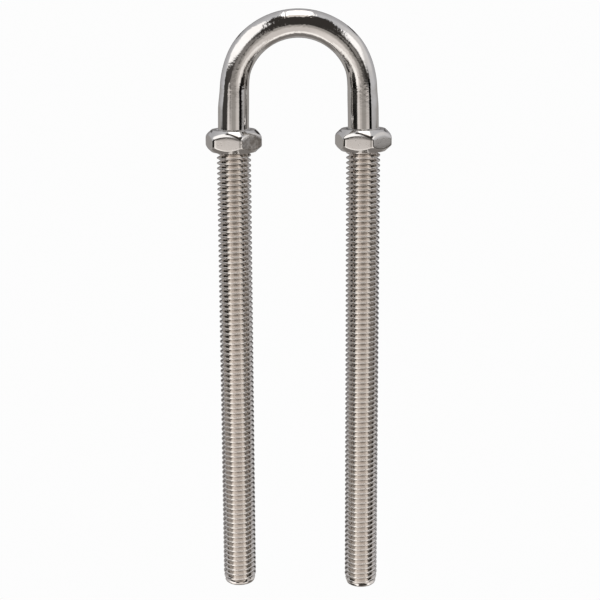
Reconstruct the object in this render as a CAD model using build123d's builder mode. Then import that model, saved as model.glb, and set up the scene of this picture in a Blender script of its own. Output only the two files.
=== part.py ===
"""Bow eye: a round bar bent into an eye, with two long threaded legs and a jam nut on each leg.

Millimetres. X runs from the left leg to the right one, Y along the legs with the eye at +Y, and Z
square to the plane of the bend. The origin lies midway between the legs, in the plane of the two
nut faces that seat on the hull.
"""

import os
from math import radians, tan

from build123d import *

os.makedirs("parts", exist_ok=True)

# Thread: half inch coarse, thirteen turns to the inch, drawn at its crests
thread_diameter = 12.7
thread_pitch = 1.9538
runout_turns = 1.5  # turns over which the crests fade into the plain bar
runout_cover = 0.6  # plain bar hidden below the nut's upper face
crest_loss = 0.1  # the rolled crests are this much lower where the run-out starts, which jams the nut

# Bar: the thread is rolled on, so the blank has the thread's pitch diameter
bar_diameter = 11.43
crown_thickness = 10.95  # the bend stretches the bar thinner in its own plane
eye_inside_width = 36.6
shoulder_height = 22.6  # from the hull plane up to where the bend starts

# Legs, measured from the hull plane to their tips
left_leg_length = 171.0
right_leg_length = 172.7
tip_taper_turns = 2.0
tip_taper_depth = 0.7  # how much the radius falls over the taper
tip_round = 1.2

# Jam nuts: three quarters of an inch across the flats, with steep chamfers on both ends
nut_across_flats = 19.05
nut_across_corners = 21.4  # the corners are slightly rolled over
nut_height = 8.2
nut_face_inset = 1.35  # from a flat to the ring where the chamfer starts
nut_chamfer_angle = 42
nut_running_clearance = 0.05  # between the bore and the crests
nut_countersink = 0.35
left_nut_turn = 16.0  # each nut's front flat is turned towards the left leg's side
right_nut_turn = 15.0

leg_spacing = eye_inside_width + bar_diameter
bar_radius = bar_diameter / 2
thread_radius = thread_diameter / 2
runout_top = nut_height - runout_cover
runout_length = runout_turns * thread_pitch
tip_taper_length = tip_taper_turns * thread_pitch
tip_radius = thread_radius - tip_taper_depth
bore_radius = thread_radius + nut_running_clearance

# Bent bar: the eye is one half turn of bend, and each leg hangs from one end of it
with BuildPart() as u_bolt:
    with BuildLine(Plane.XY) as bend:
        CenterArc((0, shoulder_height), leg_spacing / 2, start_angle=0, arc_size=180)
    for place, thickness in ((0, bar_diameter), (0.5, crown_thickness), (1, bar_diameter)):
        section = Plane(origin=bend.line @ place, x_dir=(0, 0, 1), z_dir=bend.line % place)
        with BuildSketch(section):
            Ellipse(bar_radius, thickness / 2)
    sweep(path=bend.line, multisection=True)

    for side, leg_length in ((-1, left_leg_length), (1, right_leg_length)):
        leg_plane = Plane(origin=(side * leg_spacing / 2, 0, 0))
        with BuildSketch(leg_plane) as outline:
            with BuildLine():
                Polyline(
                    (0, shoulder_height),
                    (bar_radius, shoulder_height),
                    (bar_radius, runout_top),
                    (thread_radius - crest_loss, runout_top - runout_length),
                    (thread_radius, 0),
                    (thread_radius, tip_taper_length - leg_length),
                    (tip_radius, -leg_length),
                    (0, -leg_length),
                    close=True,
                )
            make_face()
            tip_corners = outline.vertices().group_by(Axis.Y)[0]
            fillet(tip_corners.sort_by_distance(leg_plane.origin)[-1], radius=tip_round)
        revolve(axis=Axis(leg_plane.origin, leg_plane.y_dir))

u_bolt.part.label = "u_bolt"
export_step(u_bolt.part, "parts/u_bolt.step")

# Jam nuts: a hexagon cut by a turned blank that gives both end chamfers and the rolled corners
face_radius = nut_across_flats / 2 - nut_face_inset
corner_radius = nut_across_corners / 2
chamfer_height = (corner_radius - face_radius) * tan(radians(nut_chamfer_angle))

for name, side, turn in (("nut_left", -1, left_nut_turn), ("nut_right", 1, right_nut_turn)):
    seat = Plane(origin=(side * leg_spacing / 2, 0, 0), x_dir=(1, 0, 0), z_dir=(0, 1, 0))
    with BuildPart() as nut:
        with BuildSketch(seat):
            RegularPolygon(nut_across_flats / 2, side_count=6, major_radius=False, rotation=-turn)
        extrude(amount=nut_height)

        with BuildSketch(Plane(origin=seat.origin)):
            with BuildLine():
                Polyline(
                    (0, 0),
                    (face_radius, 0),
                    (corner_radius, chamfer_height),
                    (corner_radius, nut_height - chamfer_height),
                    (face_radius, nut_height),
                    (0, nut_height),
                    close=True,
                )
            make_face()
        revolve(axis=Axis(seat.origin, seat.z_dir), mode=Mode.INTERSECT)

        with Locations(seat):
            Hole(bore_radius)
        bore_rims = nut.edges().filter_by(GeomType.CIRCLE).group_by(SortBy.RADIUS)[0]
        chamfer(bore_rims, length=nut_countersink)

    nut.part.label = name
    export_step(nut.part, f"parts/{name}.step")
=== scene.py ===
"""Bow eye of polished stainless bar: the bent bar with its two rolled threads, and a jam nut on each leg.

The bar and the threads are skins that follow a rule, a bend or a helix, so node trees make them, and a
loop makes the nuts' hexagons. Sizes are in millimetres until a mesh is made. X runs from the left leg to
the right one, Y along the legs towards the eye, Z up from the floor. The nuts seat at Y = 0.
"""

from math import cos, hypot, pi, radians, sin, tan

import bmesh
import bpy
from mathutils import Matrix, Vector


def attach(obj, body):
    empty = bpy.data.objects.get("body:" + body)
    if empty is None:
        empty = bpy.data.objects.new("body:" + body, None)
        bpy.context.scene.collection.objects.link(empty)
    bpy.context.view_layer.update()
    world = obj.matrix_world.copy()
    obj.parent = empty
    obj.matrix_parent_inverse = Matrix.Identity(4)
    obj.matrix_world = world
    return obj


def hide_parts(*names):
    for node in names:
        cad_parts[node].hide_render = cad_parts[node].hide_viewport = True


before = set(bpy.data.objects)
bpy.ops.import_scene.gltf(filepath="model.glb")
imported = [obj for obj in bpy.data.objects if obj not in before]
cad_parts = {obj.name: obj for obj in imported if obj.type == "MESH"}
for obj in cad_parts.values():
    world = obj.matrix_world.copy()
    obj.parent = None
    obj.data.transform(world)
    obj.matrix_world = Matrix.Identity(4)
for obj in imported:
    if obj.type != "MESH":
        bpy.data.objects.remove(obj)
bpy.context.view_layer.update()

MM = 0.001

# Half inch coarse thread, rolled on a bar of its pitch diameter
PITCH = 1.9538
BAR_RADIUS = 5.715
CREST_RADIUS = 6.35
TURN_PARTS = 48  # the thread's profile is laid out in these parts of a turn, from the middle of a crest
CREST_FLAT = 3 / TURN_PARTS  # where the crest's flat ends, in turns
CREST_END = 6.6 / TURN_PARTS  # where the crest's rounding ends and a flank begins
ROOT_START = 21.4 / TURN_PARTS  # where the flank ends and the rounded root begins
PROFILE_ROWS = (3, 4.8, 6.6, 21.4, 22.7, 24)  # where the mesh rows lie, in parts of a turn
FLANK_SLOPE = 1 / tan(radians(30))
RUNOUT_TOP = 7.6  # where the thread ends on the bar, above the seat plane
RUNOUT_TURNS = 1.5
RUNOUT_LOSS = 0.1  # the crests are this much lower where the run-out starts
THREADED_TURNS = 97  # turns of the ribbon that makes a leg
TURNS_ABOVE = 5  # of them start above the crest that LEGS places
LEG_CENTRE = 24.015

# Bend
SHOULDER = 22.6
BEND_RADIUS = 23.8
CROWN_THINNING = 0.24
INNER_THINNING = 0.45  # what the bending takes off the inner side
INNER_START = (1.0, 10.0)  # from where to where the inner thinning sets in, from the bend's start
NECKING = {"Left Necking": 0.7, "Right Necking": 0.5}  # what the die takes off the outer side
NECK_START = (-7.0, 2.0)  # from where to where the necking sets in, from the bend's start
NECK_END = (18.0, 4.0)  # from where back to where it is gone
BEND_RINGS = 180

# Tips
TIP_TAPER = 0.7
TIP_TAPER_LENGTH = 3.9
TIP_ROUND = 1.2
TIP_FADE = 2.2  # the thread starts to fade out this far above the tip

# Jam nuts
NUT_HEIGHT = 8.2
NUT_APOTHEM = 9.525
NUT_CORNER = 10.7
NUT_CORNER_BLEND = 0.12  # how softly the rolled corners run into the flats
NUT_FACE_RADIUS = 8.175
NUT_CHAMFER = 42
NUT_HALF_SIDE = (0, 7, 14, 19, 22.5, 25, 26.7, 28.2, 30)  # degrees of the columns, from a flat's middle
NUT_BAND = 0.8  # half the height of the mesh row round the nut's middle
NUT_FACE_ROUNDING = 0.35
NUT_UPPER_ROUNDING, NUT_LOWER_ROUNDING = 2.4, 0.8
ROUNDING_STEPS = 5
NUT_MOUTH = 6.6
NUT_MOUTH_RIM = 0.1  # width of the first mesh row round each mouth
NUT_UPPER_SINK, NUT_LOWER_SINK = 1.2, 1.6  # how fast the countersinks narrow
NUT_MINOR = 5.45
NUT_TURNS = 7  # turns of the ribbon that makes a nut's thread
THREAD_CLEARANCE = 0.06

COLUMNS = 42  # mesh columns round the bar
NUT_COLUMNS = 96
TREE_WELD, PIECE_WELD = 0.0005, 0.001  # points closer than this are merged

# Each leg's side, its length, the height of one crest on the front of the bar and the turn of its nut
LEGS = {"left": (-1, 171.0, 0.13, 14.3), "right": (1, 172.7, -0.19, 16.0)}


class Term:
    """One output of a node tree. Python's operators on it add Math nodes."""

    def __init__(self, net, socket):
        self.net, self.socket = net, socket

    def math(self, operation, *others, first=None):
        values = (self, *others) if first is None else (first, self)
        return self.net.node("ShaderNodeMath", values, operation=operation)

    def __add__(self, other):
        return self.math("ADD", other)

    __radd__ = __add__

    def __sub__(self, other):
        return self.math("SUBTRACT", other)

    def __rsub__(self, other):
        return self.math("SUBTRACT", first=other)

    def __mul__(self, other):
        return self.math("MULTIPLY", other)

    __rmul__ = __mul__

    def __truediv__(self, other):
        return self.math("DIVIDE", other)

    def __rtruediv__(self, other):
        return self.math("DIVIDE", first=other)

    def __pow__(self, other):
        return self.math("POWER", other)

    def __neg__(self):
        return self * -1.0

    def __abs__(self):
        return self.math("ABSOLUTE")

    def clamp(self, low=0.0, high=1.0):
        return self.math("MAXIMUM", low).math("MINIMUM", high)

    def ramp(self, start, end):
        """0 at start, 1 at end, straight between them and level outside."""
        return ((self - start) / (end - start)).clamp()

    def smooth(self, start, end):
        """0 at start, 1 at end, with soft shoulders."""
        return self.net.node("ShaderNodeMapRange", {"Value": self, "From Min": start, "From Max": end},
                             interpolation_type="SMOOTHSTEP")


class Net:
    """A node tree that is filled by expressions."""

    def __init__(self, tree):
        self.tree = tree
        tree.nodes.clear()

    def node(self, kind, values=(), output=0, **settings):
        """Adds a node: first its settings, then the values or links of its sockets. Returns one output."""
        made = self.tree.nodes.new(kind)
        for name, value in settings.items():
            setattr(made, name, value)
        pairs = values.items() if isinstance(values, dict) else enumerate(values)
        for key, value in pairs:
            socket = made.inputs[key]
            if isinstance(value, Term):
                self.tree.links.new(value.socket, socket)
            else:
                socket.default_value = value
        return Term(self, made.outputs[output]) if len(made.outputs) else made

    def mix(self, factor, first, second):
        """Mixes two colours. The node's sockets 6 and 7 and its output 2 are the ones for colours."""
        return self.node("ShaderNodeMix", {0: factor, 6: self.colour(first), 7: self.colour(second)},
                         output=2, data_type="RGBA")

    @staticmethod
    def colour(value):
        return value if isinstance(value, Term) else (*value, 1.0)

    def noise(self, place, scale, detail, roughness=0.5):
        return self.node("ShaderNodeTexNoise", {"Vector": place, "Scale": scale, "Detail": detail,
                                                "Roughness": roughness})

    def split(self, vector):
        made = self.node("ShaderNodeSeparateXYZ", (vector,)).socket.node
        return [Term(self, out) for out in made.outputs]

    def join(self, x, y, z):
        return self.node("ShaderNodeCombineXYZ", (x, y, z))


def baked_tree(name, tree, sizes, material):
    """Runs a geometry tree once and gives its result as a plain mesh."""
    holder = bpy.data.objects.new(name, bpy.data.meshes.new(name))
    bpy.context.scene.collection.objects.link(holder)
    modifier = holder.modifiers.new(name, "NODES")
    modifier.node_group = tree
    sizes = {**sizes, "Material": material}
    for item in tree.interface.items_tree:
        if item.item_type == "SOCKET" and item.in_out == "INPUT" and item.name in sizes:
            modifier[item.identifier] = sizes[item.name]
    holder.update_tag()
    evaluated = holder.evaluated_get(bpy.context.evaluated_depsgraph_get())
    mesh = bpy.data.meshes.new_from_object(evaluated)
    holder.modifiers.clear()
    bpy.data.objects.remove(holder)
    return mesh


def new_tree(name, sizes):
    """An empty geometry tree with one named input for each size, and an input for the material."""
    tree = bpy.data.node_groups.new(name, "GeometryNodeTree")
    for size, value in sizes.items():
        socket = tree.interface.new_socket(size, in_out="INPUT", socket_type="NodeSocketFloat")
        socket.default_value = value
    tree.interface.new_socket("Material", in_out="INPUT", socket_type="NodeSocketMaterial")
    tree.interface.new_socket("Geometry", in_out="OUTPUT", socket_type="NodeSocketGeometry")
    net = Net(tree)
    entry = net.tree.nodes.new("NodeGroupInput")
    inputs = {out.name: Term(net, out) for out in entry.outputs if out.name}
    return net, inputs


def place_grid(net, inputs, across, along, position):
    """Ends a tree: a grid whose points are put at a position, merged, realized and given its material.

    position(column, row) counts columns from 0 along the grid and rows about 0 across it.
    """
    grid = net.node("GeometryNodeMeshGrid", {"Size X": float(along), "Size Y": float(across),
                                             "Vertices X": along + 1, "Vertices Y": across + 1})
    x, y, _ = net.split(net.node("GeometryNodeInputPosition"))
    skin = net.node("GeometryNodeSetPosition", {"Geometry": grid, "Position": position(x + along / 2, y)})
    skin = net.node("GeometryNodeMergeByDistance", {"Geometry": skin, "Distance": TREE_WELD * MM})
    skin = net.node("GeometryNodeRealizeInstances", {"Geometry": skin})
    skin = net.node("GeometryNodeSetMaterial", {"Geometry": skin, "Material": inputs["Material"]})
    net.node("NodeGroupOutput", (skin,))


def helix(column, row, columns):
    """Turns run down the helix so far, and how far a mesh row lies from the crest, in turns."""
    turns = column / float(columns)
    offset = abs(row)
    reach = PROFILE_ROWS[0] / TURN_PARTS
    for i, (low, high) in enumerate(zip(PROFILE_ROWS, PROFILE_ROWS[1:])):
        reach = reach + offset.ramp(i + 0.5, i + 1.5) * ((high - low) / TURN_PARTS)
    return turns, reach * row.math("SIGN")


def groove(share, from_crest):
    """How deep the thread lies below its crest, at a distance from it in turns, where it has a share of
    its full depth.
    """
    fall = FLANK_SLOPE * PITCH
    rounding = CREST_END - CREST_FLAT
    crest = (from_crest - CREST_FLAT).clamp(0.0, rounding) ** 2.0 * (fall / (2 * rounding))
    flank = (from_crest - CREST_END).clamp(0.0, ROOT_START - CREST_END) * fall
    root = 1.0 - from_crest.ramp(ROOT_START, 0.5)
    return (crest + flank + (1.0 - root * root) * (fall * (0.5 - ROOT_START) / 2)) * share


def thread_phase(inputs, depth, turns):
    """Distance from the nearest crest, in turns, at a depth below the seat plane."""
    phase = (depth + inputs["First Crest"]) / PITCH - turns
    return abs(phase.math("WRAP", 0.5, -0.5))


def threaded_leg_tree():
    """The threaded leg: one ribbon, a pitch wide, that winds from the bare bar down to the tip's middle."""
    net, inputs = new_tree("threaded leg", {"Centre": 0.0, "Length": 0.0, "First Crest": 0.0})
    length = inputs["Length"]
    runout_end = RUNOUT_TURNS * PITCH - RUNOUT_TOP

    def position(column, row):
        turns, offset = helix(column, row, COLUMNS)
        arc = TIP_ROUND * pi / 2
        face = CREST_RADIUS - TIP_TAPER - TIP_ROUND
        depth = (turns + offset) * PITCH - inputs["First Crest"]
        depth = depth.math("MAXIMUM", -RUNOUT_TOP).math("MINIMUM", length - TIP_ROUND + arc + face)
        crest = (
            BAR_RADIUS
            + (CREST_RADIUS - RUNOUT_LOSS - BAR_RADIUS) * depth.ramp(-RUNOUT_TOP, runout_end)
            + RUNOUT_LOSS * depth.ramp(runout_end, 0.0)
        )
        past_tip = depth - length
        fade = depth.ramp(-RUNOUT_TOP, PITCH / 2 - RUNOUT_TOP)
        fade = fade * (1.0 - past_tip.smooth(-TIP_FADE, arc - TIP_ROUND))
        taper = CREST_RADIUS - TIP_TAPER * past_tip.ramp(-TIP_TAPER_LENGTH, 0.0)
        radius = (crest - groove(fade, thread_phase(inputs, depth, turns))).math("MINIMUM", taper)
        bow = past_tip.ramp(-TIP_ROUND, arc - TIP_ROUND) * (pi / 2)
        radius = radius - TIP_ROUND * (1.0 - bow.math("COSINE"))
        radius = (radius - (past_tip + (TIP_ROUND - arc)).math("MAXIMUM", 0.0)).math("MAXIMUM", 0.0)
        height = -depth.math("MINIMUM", length - TIP_ROUND) - TIP_ROUND * bow.math("SINE")
        angle = turns * (-2 * pi)
        x = inputs["Centre"] + radius * angle.math("SINE")
        return net.join(x * MM, height * MM, radius * angle.math("COSINE") * MM)

    place_grid(net, inputs, 2 * len(PROFILE_ROWS) - 1, THREADED_TURNS * COLUMNS, position)
    return net.tree


def nut_thread_tree():
    """The thread inside a nut, with the countersinks at both mouths."""
    net, inputs = new_tree("nut thread", {"Centre": 0.0, "First Crest": 0.0})

    def position(column, row):
        turns, offset = helix(column, row, NUT_COLUMNS)
        depth = ((turns + offset) * PITCH - inputs["First Crest"]).clamp(-NUT_HEIGHT, 0.0)
        thread = (CREST_RADIUS + THREAD_CLEARANCE) - groove(1.0, thread_phase(inputs, depth, turns))
        upper = NUT_MOUTH - NUT_UPPER_SINK * (depth + NUT_HEIGHT)
        lower = NUT_MOUTH + NUT_LOWER_SINK * depth
        radius = thread.math("MAXIMUM", NUT_MINOR).math("MAXIMUM", upper).math("MAXIMUM", lower)
        angle = turns * (-2 * pi)
        x = inputs["Centre"] + radius * angle.math("SINE")
        return net.join(x * MM, depth * -MM, radius * angle.math("COSINE") * MM)

    place_grid(net, inputs, 2 * len(PROFILE_ROWS) - 1, NUT_TURNS * NUT_COLUMNS, position)
    return net.tree


def bend_tree():
    """The plain bar: up from the left thread, round the eye and down to the right thread."""
    sizes = {"Bend Radius": BEND_RADIUS, "Flare": LEG_CENTRE - BEND_RADIUS, "Thinning": CROWN_THINNING}
    net, inputs = new_tree("bent bar", {**sizes, "Inner Thinning": INNER_THINNING, **NECKING})
    straight = SHOULDER - RUNOUT_TOP
    bar_length = 2 * straight + pi * BEND_RADIUS

    def necked(name, bend_run):
        return inputs[name] * bend_run.smooth(*NECK_START) * bend_run.smooth(*NECK_END)

    def position(ring, row):
        run = ring * (bar_length / BEND_RINGS)
        far_run = bar_length - run
        turn = (run - straight).clamp(0.0, pi * BEND_RADIUS) / BEND_RADIUS
        left_drop = straight - run.math("MINIMUM", straight)
        right_drop = straight - far_run.math("MINIMUM", straight)
        flare = inputs["Flare"] * (left_drop.smooth(0.0, straight) - right_drop.smooth(0.0, straight))
        sine, cosine = turn.math("SINE"), turn.math("COSINE")
        angle = (row + COLUMNS / 2) * (2 * pi / COLUMNS)
        bend_run, far_bend_run = run - straight, far_run - straight
        necking = necked("Left Necking", bend_run) + necked("Right Necking", far_bend_run)
        inner = inputs["Inner Thinning"] * bend_run.smooth(*INNER_START) * far_bend_run.smooth(*INNER_START)
        inward = angle.math("SINE")
        thinning = (
            inputs["Thinning"] * sine * sine
            + inner * inward.math("MAXIMUM", 0.0)
            + necking * (-inward).math("MAXIMUM", 0.0)
        )
        across = inputs["Bend Radius"] - inward * (BAR_RADIUS - thinning)
        return net.join(
            -(across * cosine + flare) * MM,
            (SHOULDER - left_drop - right_drop + across * sine) * MM,
            angle.math("COSINE") * (BAR_RADIUS * MM),
        )

    place_grid(net, inputs, COLUMNS, BEND_RINGS, position)
    return net.tree


def nut_outline():
    """Angles and radii round the hexagon, whose corners are rolled over, for half of one side."""
    for degrees in NUT_HALF_SIDE:
        flat = NUT_APOTHEM / cos(radians(degrees))
        yield degrees, (flat + NUT_CORNER - hypot(flat - NUT_CORNER, NUT_CORNER_BLEND)) / 2


def rounded(r, y, fall_before, fall_after, rounding):
    """Points on an arc that rounds a corner of a profile, whose sides fall outwards at the two angles."""
    turn = fall_after - fall_before
    reach = rounding * tan(turn / 2)
    start = r - reach * cos(fall_before), y + reach * sin(fall_before)
    for step in range(ROUNDING_STEPS + 1):
        swung = turn * step / ROUNDING_STEPS
        along, down = rounding * sin(swung), rounding * (1 - cos(swung))
        yield (start[0] + along * cos(fall_before) - down * sin(fall_before),
               start[1] - along * sin(fall_before) - down * cos(fall_before))


def nut_rows(radius, rounding):
    """Radius and height of the nut's skin from the upper mouth to its middle, for one outline radius."""
    slope = radians(NUT_CHAMFER)
    edge = NUT_HEIGHT - (radius - NUT_FACE_RADIUS) * tan(slope)
    yield NUT_MOUTH, NUT_HEIGHT
    yield NUT_MOUTH + NUT_MOUTH_RIM, NUT_HEIGHT
    yield (NUT_MOUTH + NUT_FACE_RADIUS) / 2, NUT_HEIGHT
    yield from rounded(NUT_FACE_RADIUS, NUT_HEIGHT, 0, slope, NUT_FACE_ROUNDING)
    yield from rounded(radius, edge, slope, pi / 2, rounding)
    yield radius, NUT_HEIGHT / 2 + NUT_BAND


def nut_shell(centre, nut_turn):
    """The nut's outside: its faces, both chamfers and the rolled corners, open at the two mouths.

    The rows round the mouths keep to the columns of the thread inside, which don't turn with the nut.
    """
    half = list(nut_outline())
    side = [(-a, r) for a, r in half[-2:0:-1]] + half
    outline = [(60 * i + a, r) for i in range(6) for a, r in side]
    skin = bmesh.new()
    columns = []
    for k, (degrees, radius) in enumerate(outline):
        outer = radians(degrees - nut_turn)
        inner = 2 * pi * (k - round(nut_turn * NUT_COLUMNS / 360) - (len(half) - 2)) / NUT_COLUMNS
        lower = [(r, NUT_HEIGHT - y) for r, y in nut_rows(radius, NUT_LOWER_ROUNDING)]
        rows = list(nut_rows(radius, NUT_UPPER_ROUNDING)) + lower[::-1]
        column = []
        for r, y in rows:
            a = inner if r < NUT_MOUTH + 2 * NUT_MOUTH_RIM else outer
            column.append(skin.verts.new(((centre + r * sin(a)) * MM, y * MM, r * cos(a) * MM)))
        columns.append(column)
    for k, column in enumerate(columns):
        beside = columns[(k + 1) % len(columns)]
        for a, b, c, d in zip(column, column[1:], beside[1:], beside):
            skin.faces.new((a, b, c, d))
    shell = bpy.data.meshes.new("nut shell")
    skin.to_mesh(shell)
    skin.free()
    return shell


def weigh_normals(mesh):
    """Gives each vertex the area-weighted normal of its faces, which keeps the thread's flanks straight."""
    normals = [Vector() for vertex in mesh.vertices]
    for face in mesh.polygons:
        for index in face.vertices:
            normals[index] += face.normal * face.area
    mesh.normals_split_custom_set_from_vertices([normal.normalized() for normal in normals])


def finished_piece(name, parts, body, node, material):
    """Welds meshes into one closed skin whose faces point out, and stands it in for its CAD node."""
    whole = bmesh.new()
    for part in parts:
        whole.from_mesh(part)
        bpy.data.meshes.remove(part)
    bmesh.ops.remove_doubles(whole, verts=whole.verts, dist=PIECE_WELD * MM)
    bmesh.ops.dissolve_degenerate(whole, edges=whole.edges, dist=TREE_WELD * MM)
    bmesh.ops.recalc_face_normals(whole, faces=whole.faces)
    mesh = bpy.data.meshes.new(name)
    whole.to_mesh(mesh)
    whole.free()
    mesh.shade_smooth()
    weigh_normals(mesh)
    mesh.materials.clear()
    mesh.materials.append(material)
    piece = bpy.data.objects.new(name, mesh)
    bpy.context.scene.collection.objects.link(piece)
    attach(piece, body)
    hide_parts(node)


# Finishes
WORN_STEEL, CLEAN_STEEL = (0.63, 0.615, 0.60), (0.67, 0.66, 0.65)
# The second colour on the next line browns and darkens the thread's grooves, the more the deeper
THREAD_STEEL, GROOVE_BROWN = (0.76, 0.735, 0.71), (0.36, 0.27, 0.20)
# The second colour on the next line is painted shade, for the left nut's inner face
PIT_BROWN, PAINTED_SHADE_BROWN = (0.38, 0.34, 0.30), (0.27, 0.245, 0.22)
PAPER_WHITE, BACKDROP_WHITE = (0.62, 0.61, 0.60), (0.98, 0.98, 0.98)
GROOVE_BROWN_DEPTH = 1.2  # how far below the crests the thread's grooves are at their brownest
MARK_PLACE, MARK_HALF_WIDTH, MARK_LEAN = (-4.9, 50.0), 0.4, 0.18  # the line that the bending die left
MARK_START, MARK_FULL = 48.0, 49.5  # it shows on the crown only
PAINTED_SHADE_START, PAINTED_SHADE_FULL = 9.3, 9.4  # distance from the nut's axis of the face that carries the painted shade


def finish_net(name):
    material = bpy.data.materials.new(name)
    material.use_nodes = True
    return material, Net(material.node_tree)


def steel_surface(net, colour, rough, height, relief):
    """Ends a steel's tree: bare metal with a relief, whose height is in millimetres."""
    bump = net.node("ShaderNodeBump", {"Strength": 1.0, "Distance": relief * MM, "Height": height})
    sockets = {"Base Color": colour, "Roughness": rough, "Metallic": 1.0, "Normal": bump}
    net.node("ShaderNodeOutputMaterial", {"Surface": net.node("ShaderNodeBsdfPrincipled", sockets)})


def polished_bar():
    """Polished stainless bar, wrinkled by the bend, and browner and darker deep in the thread's grooves."""
    material, net = finish_net("polished stainless bar")
    place = net.node("ShaderNodeTexCoord", output=3)
    x, y, z = net.split(place)
    leg_x = abs(x) - LEG_CENTRE * MM
    radius = (leg_x * leg_x + z * z) ** 0.5
    in_thread = y.ramp(RUNOUT_TOP * MM, (RUNOUT_TOP - 1) * MM)
    depth = radius.ramp(CREST_RADIUS * MM, (CREST_RADIUS - GROOVE_BROWN_DEPTH) * MM) * in_thread
    clouds = net.noise(place, 260.0, 3.0)
    wrinkles = net.noise(place, 1000.0, 1.5)
    patches = net.noise(place, 140.0, 2.0)
    bent = y.ramp((SHOULDER - 8) * MM, (SHOULDER + 6) * MM)
    from_mark = (x / MM - MARK_PLACE[0] + MARK_LEAN * (y / MM - MARK_PLACE[1])) / MARK_HALF_WIDTH
    die_mark = (1.0 - from_mark * from_mark).clamp() * y.ramp(MARK_START * MM, MARK_FULL * MM)
    height = wrinkles * (0.004 + 0.022 * bent + 0.05 * bent * patches.ramp(0.45, 0.65)) - die_mark * 0.06
    steel = net.mix(clouds.ramp(0.35, 0.7), WORN_STEEL, CLEAN_STEEL)
    steel = net.mix(in_thread, steel, THREAD_STEEL)
    # the thread's grooves turn browner and darker the deeper they go
    colour = net.mix(depth * 0.2, steel, GROOVE_BROWN)
    steel_surface(net, colour, 0.025 + 0.04 * clouds + 0.02 * depth, height, 1.0)
    return material


def nut_steel():
    """Stainless nut with a few small pits, and painted shade, browner, darker and duller, on the left nut's
    inner face.
    """
    material, net = finish_net("bright stainless nut")
    place = net.node("ShaderNodeTexCoord", output=3)
    x, _, z = net.split(place)
    clouds = net.noise(place, 420.0, 4.0, 0.6)
    pits = net.noise(place, 1500.0, 1.0)
    # Painted shade: the left nut's inner face, towards the other leg, is made browner, darker and duller
    face = radians(60 - LEGS["left"][3])
    from_axis = (x + LEG_CENTRE * MM) * sin(face) + z * cos(face)
    painted_shade = from_axis.ramp(PAINTED_SHADE_START * MM, PAINTED_SHADE_FULL * MM) * x.ramp(0.0, -MM)
    steel = net.mix(clouds.ramp(0.35, 0.7), WORN_STEEL, CLEAN_STEEL)
    colour = net.mix(pits.ramp(0.74, 0.80), steel, PIT_BROWN)
    colour = net.mix(painted_shade * clouds.ramp(0.62, 0.40) * 0.75, colour, PAINTED_SHADE_BROWN)
    height = pits.ramp(0.78, 0.66) + 0.25 * clouds
    steel_surface(net, colour, 0.05 + 0.05 * clouds + 0.22 * painted_shade, height, 0.012)
    return material


bar_steel = polished_bar()
nut_finish = nut_steel()

leg_tree = threaded_leg_tree()
nut_tree = nut_thread_tree()
skins = [baked_tree("bent bar", bend_tree(), {}, bar_steel)]
for side, length, crest, _ in LEGS.values():
    sizes = {"Centre": side * LEG_CENTRE, "Length": length, "First Crest": crest + TURNS_ABOVE * PITCH}
    skins.append(baked_tree("threaded leg", leg_tree, sizes, bar_steel))
finished_piece("eye_bar", skins, "u_bolt", "u_bolt", bar_steel)
for name, (side, _, crest, turn) in LEGS.items():
    sizes = {"Centre": side * LEG_CENTRE, "First Crest": crest + TURNS_ABOVE * PITCH}
    inside = baked_tree("nut thread", nut_tree, sizes, nut_finish)
    shell = nut_shell(side * LEG_CENTRE, turn)
    node = f"nut_{name}"
    finished_piece(f"jam_nut_{name}", [shell, inside], node, node, nut_finish)

# White paper under the part, which shiny surfaces don't see
FLOOR_HEIGHT = -10.36
FLOOR_HALF = 12  # metres
sides = ((-1, -1), (1, -1), (1, 1), (-1, 1))
corners = [(x * FLOOR_HALF, y * FLOOR_HALF, FLOOR_HEIGHT * MM) for x, y in sides]
floor_mesh = bpy.data.meshes.new("floor")
floor_mesh.from_pydata(corners, [], [(0, 1, 2, 3)])
floor = bpy.data.objects.new("floor", floor_mesh)
bpy.context.scene.collection.objects.link(floor)
paper, net = finish_net("white paper")
seen = net.node("ShaderNodeLightPath")
matt = net.node("ShaderNodeBsdfDiffuse", {"Color": net.colour(PAPER_WHITE)})
bright = net.node("ShaderNodeEmission", {"Color": net.colour(BACKDROP_WHITE), "Strength": 1.0})
net.node("ShaderNodeOutputMaterial", {"Surface": net.node("ShaderNodeMixShader", (seen, matt, bright))})
floor_mesh.materials.append(paper)
floor.visible_glossy = False

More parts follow.
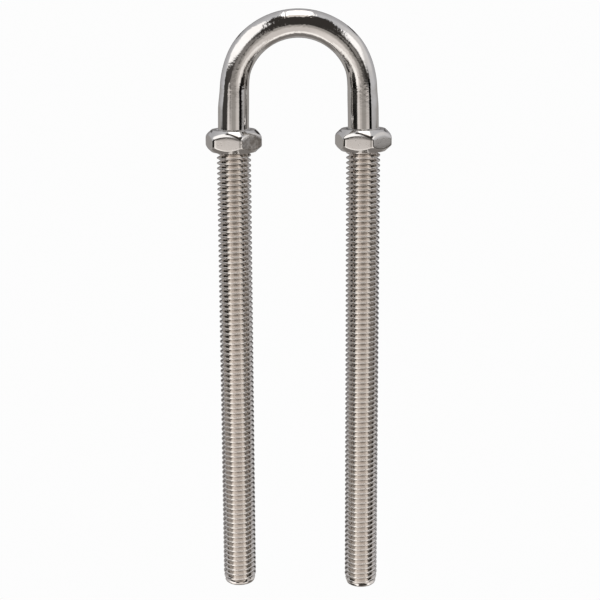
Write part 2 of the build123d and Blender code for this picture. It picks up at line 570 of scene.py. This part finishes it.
# What the steel sees, drawn on a plan of the whole sphere: the middle is straight up, the distance from it
# is the angle from straight up in degrees, with the horizon at 90, +x is to the right of the part and +y is
# beyond the eye. Each panel has its centre, its half size, its turn in degrees, the radius of its corners,
# how soft its edge is, and its colour. Later panels cover earlier ones.
PANELS = (
    ((0, -106), (80, 19), 0, 14, 7, (0.25, 0.23, 0.215)),
    ((-3, -43), (60, 42), 0, 30, 3, (0.84, 0.785, 0.745)),
    ((-34, -45), (24, 32), 0, 14, 10, (1.05, 0.985, 0.94)),
    ((-3, -74), (50, 8), 0, 8, 6, (1.45, 1.39, 1.33)),
    ((1, -7), (17, 12), 0, 11, 9, (0.46, 0.43, 0.40)),
    ((6, 36.5), (34, 39.5), 0, 4, 4, (0.05, 0.045, 0.041)),
    ((-52, 10.5), (36, 13.5), -4, 5, 3, (0.08, 0.073, 0.068)),
    ((34, 7.5), (26, 10.5), 0, 5, 4, (0.05, 0.046, 0.042)),
    ((-16, 0.5), (12, 4), 0, 3, 4, (0.36, 0.335, 0.315)),
    ((-17, 9), (12, 5), -35, 3, 4, (0.30, 0.28, 0.265)),
    ((20, 8), (9, 4), 25, 3, 5, (0.34, 0.32, 0.30)),
    ((-84, -38.3), (26, 27.8), 0, 12, 5, (0.04, 0.037, 0.034)),
    ((-71, -11.9), (20, 20), -23, 6, 3, (0.06, 0.056, 0.052)),
    ((-80, -12.8), (24, 3.6), 4.3, 2, 1.5, (0.006, 0.006, 0.005)),
    ((-80, -33.5), (28, 6), 0, 4, 3, (0.52, 0.49, 0.465)),
    ((84, -41), (26, 26), 0, 12, 5, (0.04, 0.036, 0.032)),
    ((100, -36), (20, 23), 0, 8, 4, (0.06, 0.052, 0.046)),
    ((78, -26), (22, 15), -10.7, 5, 1.5, (0.04, 0.035, 0.03)),
    ((86, -33), (27, 7), 0, 4, 4, (0.28, 0.26, 0.24)),
    ((51.5, -4), (10, 7), 0, 3, 1.2, (0.003, 0.003, 0.003)),
    ((59, -13), (7, 6.5), -38, 3, 1.5, (0.008, 0.007, 0.006)),
    ((-42, -34), (9, 26), 0, 6, 2, (1.35, 1.3, 1.24)),
    ((-42, -13.2), (8, 4.6), 0, 3, 1.2, (1.45, 1.39, 1.33)),
    ((39, -34), (8, 25), 0, 5, 3, (1.2, 1.15, 1.1)),
    ((38, -13.2), (7, 4.6), 0, 3, 1.2, (1.2, 1.15, 1.1)),
    ((-35, -5.5), (2, 5), 20, 2, 2, (1.2, 1.14, 1.09)),
    ((78, 44), (24, 32), 0, 12, 14, (0.90, 0.88, 0.87)),
    ((122, 94), (20, 10), 0, 6, 5, (0.03, 0.027, 0.025)),
    ((-124, 94), (17, 10), 0, 6, 5, (0.08, 0.075, 0.07)),
    ((-56, 36), (34, 17.5), -5, 8, 6, (1.55, 1.52, 1.5)),
    ((-54, 59), (24, 20), 0, 14, 6, (1.55, 1.52, 1.5)),
    ((-23, 70), (8, 16), 0, 4, 3, (0.05, 0.045, 0.041)),
    ((50, 32.2), (13, 21), -37, 5, 7, (1.55, 1.52, 1.5)),
    ((2, 70), (12, 9), 0, 4, 4, (1.0, 0.93, 0.86)),
    ((2, 100), (22, 24), 0, 12, 4, (2.2, 2.15, 2.1)),
)
UPPER, UPPER_FAR = (0.72, 0.72, 0.74), (0.55, 0.545, 0.56)
LOWER, BENEATH = (0.44, 0.42, 0.40), (0.25, 0.24, 0.24)
UPPER_FADE = (95, 135)  # from UPPER to UPPER_FAR, as an angle from straight up
LOWER_FADE = (0, -16)  # from them to LOWER, along the plan's y
BENEATH_FADE = (142, 164)  # to BENEATH, as an angle from straight up

world = bpy.data.worlds.new("studio")
bpy.context.scene.world = world
world.use_nodes = True
net = Net(world.node_tree)
dx, dy, dz = net.split(net.node("ShaderNodeTexCoord"))
from_top = dz.clamp(-1.0, 1.0).math("ARCCOSINE") * (180 / pi)
spread = from_top / ((dx * dx + dy * dy) ** 0.5).math("MAXIMUM", 1e-4)
plan_x, plan_y = dx * spread, dy * spread
upper = net.mix(from_top.smooth(*UPPER_FADE), UPPER, UPPER_FAR)
light = net.mix(plan_y.smooth(*LOWER_FADE), upper, LOWER)
light = net.mix(from_top.smooth(*BENEATH_FADE), light, BENEATH)
for centre, half, turn, corner, soft, colour in PANELS:
    cosine, sine = cos(radians(turn)), sin(radians(turn))
    x, y = plan_x - centre[0], plan_y - centre[1]
    out_x = abs(x * cosine + y * sine) - (half[0] - corner)
    out_y = abs(y * cosine - x * sine) - (half[1] - corner)
    far_x, far_y = out_x.math("MAXIMUM", 0.0), out_y.math("MAXIMUM", 0.0)
    inside_edge = out_x.math("MAXIMUM", out_y).math("MINIMUM", 0.0)
    edge = (far_x * far_x + far_y * far_y) ** 0.5 + inside_edge - corner
    light = net.mix(edge.smooth(soft, -soft), light, colour)
seen = net.node("ShaderNodeLightPath")
light = net.mix(seen, light, BACKDROP_WHITE)
shine = net.node("ShaderNodeBackground", {"Color": light, "Strength": 1.0})
net.node("ShaderNodeOutputWorld", {"Surface": shine})

# Camera, as the outlines in the photograph place it
DISTANCE, ELEVATION, AZIMUTH, ROLL = 542.4, 13.16, -1.85, -0.239
FOCAL_PIXELS, FRAME_PIXELS = 1426.4, 600
TARGET = Vector((0.288, -56.82, 0.0))
back = Vector((sin(radians(AZIMUTH)), sin(radians(ELEVATION)) * cos(radians(AZIMUTH)),
               cos(radians(ELEVATION)) * cos(radians(AZIMUTH)))).normalized()
right = Vector((0, 1, 0)).cross(back).normalized()
up = back.cross(right)
turned_right = right * cos(radians(ROLL)) + up * sin(radians(ROLL))
turned_up = up * cos(radians(ROLL)) - right * sin(radians(ROLL))
lens = bpy.data.cameras.new("camera")
lens.sensor_width = 36.0
lens.lens = lens.sensor_width * FOCAL_PIXELS / FRAME_PIXELS
camera = bpy.data.objects.new("camera", lens)
camera.matrix_world = Matrix.Translation((TARGET + back * DISTANCE) * MM) @ Matrix(
    (turned_right, turned_up, back)).transposed().to_4x4()
bpy.context.scene.collection.objects.link(camera)
bpy.context.scene.camera = camera

bpy.context.scene.view_settings.view_transform = "Standard"
